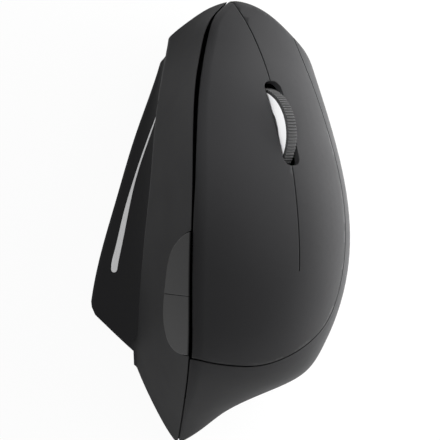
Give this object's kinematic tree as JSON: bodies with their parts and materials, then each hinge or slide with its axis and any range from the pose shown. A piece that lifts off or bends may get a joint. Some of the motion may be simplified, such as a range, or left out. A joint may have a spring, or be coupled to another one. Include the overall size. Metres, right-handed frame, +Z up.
{
  "type": "ergonomic mouse",
  "caption": "Vertical handshake-grip wireless mouse with two bending keys, scroll wheel, thumb buttons in a thumb recess, battery bay and stowed receiver.",
  "frame": {"origin": "middle of the footprint on the table, at the gliding feet's underside", "axes": "+Y to the nose, +X to the palm side, +Z up"},
  "size_m": [0.0715, 0.1207, 0.0643],
  "materials": {
    "soft_touch": "soft-touch black coating",
    "glossy_black": "polished black",
    "satin_silver": "satin silver paint",
    "glossy_white": "polished white",
    "ribbed_rubber": "ribbed",
    "steel": "bright",
    "inner_plastic": "plain black moulding",
    "circuit_board": "green solder mask",
    "chip_plastic": "black epoxy",
    "switch_plastic": "black moulding",
    "plunger_plastic": "white moulding",
    "encoder_plastic": "green moulding",
    "lens_plastic": "clear",
    "ribbon_film": "film",
    "cell_jacket": "printed jacket, bare",
    "base_plastic": "fine texture",
    "slick_foot": "low-friction tape"
  },
  "bodies": {
    "housing": {"thumb_shell": "soft_touch", "palm_lower_shell": "soft_touch", "palm_cover": "soft_touch", "inner_frame": "inner_plastic", "accent_strip": "satin_silver", "upper_board": "circuit_board", "left_switch": "switch_plastic", "right_switch": "switch_plastic", "middle_switch": "switch_plastic", "thumb_board": "circuit_board", "forward_switch": "switch_plastic", "back_switch": "switch_plastic", "main_board": "circuit_board", "sensor_chip": "chip_plastic", "controller_chip": "chip_plastic", "sensor_lens": "lens_plastic", "upper_ribbon": "ribbon_film", "thumb_ribbon": "ribbon_film", "base_plate": "base_plastic", "battery_left": "cell_jacket", "battery_right": "cell_jacket", "battery_contacts": "steel", "power_switch_body": "switch_plastic", "glide_feet": "slick_foot", "base_screws": "steel", "board_screws": "steel"},
    "left_key": {"left_key": "soft_touch"},
    "right_key": {"right_key": "soft_touch"},
    "left_plunger": {"left_plunger": "plunger_plastic"},
    "right_plunger": {"right_plunger": "plunger_plastic"},
    "wheel_cradle": {"wheel_carrier": "inner_plastic", "scroll_encoder": "encoder_plastic"},
    "wheel": {"wheel_core": "glossy_white", "wheel_tyre": "ribbed_rubber", "wheel_axle": "steel"},
    "middle_plunger": {"middle_plunger": "plunger_plastic"},
    "forward_button": {"thumb_button_forward": "glossy_black"},
    "back_button": {"thumb_button_back": "glossy_black"},
    "forward_plunger": {"forward_plunger": "plunger_plastic"},
    "back_plunger": {"back_plunger": "plunger_plastic"},
    "battery_door": {"battery_door": "base_plastic"},
    "receiver": {"receiver_body": "inner_plastic", "receiver_plug": "steel"},
    "power_knob": {"power_switch_knob": "base_plastic"}
  },
  "joints": [
    {"name": "left_key_press", "type": "hinge", "parent": "housing", "child": "left_key", "pos_m": [0.02527, -0.01152, 0.02275], "axis": [-0.6691, 0, 0.7431], "range_deg": [0, 0.6], "stiffness_Nm_per_rad": 2.6, "springref_deg": -0.17},
    {"name": "left_plunger_press", "type": "slide", "parent": "housing", "child": "left_plunger", "axis": [-0.6072, -0.3287, -0.7234], "range_m": [0, 0.00045]},
    {"name": "right_key_press", "type": "hinge", "parent": "housing", "child": "right_key", "pos_m": [0.02527, -0.01152, 0.02275], "axis": [-0.6691, 0, 0.7431], "range_deg": [0, 0.6], "stiffness_Nm_per_rad": 2.6, "springref_deg": -0.17},
    {"name": "right_plunger_press", "type": "slide", "parent": "housing", "child": "right_plunger", "axis": [-0.6072, -0.3287, -0.7234], "range_m": [0, 0.00044]},
    {"name": "wheel_press", "type": "slide", "parent": "housing", "child": "wheel_cradle", "axis": [-0.6072, -0.3287, -0.7234], "range_m": [0, 0.0004], "stiffness_N_per_m": 2500, "springref_m": -0.0001},
    {"name": "middle_plunger_press", "type": "slide", "parent": "housing", "child": "middle_plunger", "axis": [-0.6072, -0.3287, -0.7234], "range_m": [0, 0.0004]},
    {"name": "wheel_turn", "type": "hinge", "parent": "wheel_cradle", "child": "wheel", "pos_m": [0.01111, 0.02382, 0.03891], "axis": [0.7621, 0.0165, -0.6472], "continuous": true},
    {"name": "forward_button_press", "type": "slide", "parent": "housing", "child": "forward_button", "axis": [0.9305, 0.1324, -0.3414], "range_m": [0, 0.0004], "stiffness_N_per_m": 1500, "springref_m": -0.0001},
    {"name": "forward_plunger_press", "type": "slide", "parent": "housing", "child": "forward_plunger", "axis": [0.9305, 0.1324, -0.3414], "range_m": [0, 0.0004]},
    {"name": "back_button_press", "type": "slide", "parent": "housing", "child": "back_button", "axis": [0.9305, 0.1324, -0.3414], "range_m": [0, 0.0004], "stiffness_N_per_m": 1500, "springref_m": -0.0001},
    {"name": "back_plunger_press", "type": "slide", "parent": "housing", "child": "back_plunger", "axis": [0.9305, 0.1324, -0.3414], "range_m": [0, 0.0004]},
    {"name": "battery_door_swing", "type": "hinge", "parent": "housing", "child": "battery_door", "pos_m": [0.01088, 0.01921, 0.0007], "axis": [1, 0, 0], "range_deg": [0, 75]},
    {"name": "receiver_pull", "type": "slide", "parent": "housing", "child": "receiver", "axis": [0, 0, -1], "range_m": [0, 0.01]},
    {"name": "power_switch_slide", "type": "slide", "parent": "housing", "child": "power_knob", "axis": [0, 1, 0], "range_m": [0, 0.0022]}
  ],
  "couplings": [
    {"joint": "left_plunger_press", "follows": "left_key_press", "m_per_rad": 0.041171},
    {"joint": "right_plunger_press", "follows": "right_key_press", "m_per_rad": 0.040504},
    {"joint": "middle_plunger_press", "follows": "wheel_press", "ratio": 1},
    {"joint": "forward_plunger_press", "follows": "forward_button_press", "ratio": 1},
    {"joint": "back_plunger_press", "follows": "back_button_press", "ratio": 1}
  ]
}
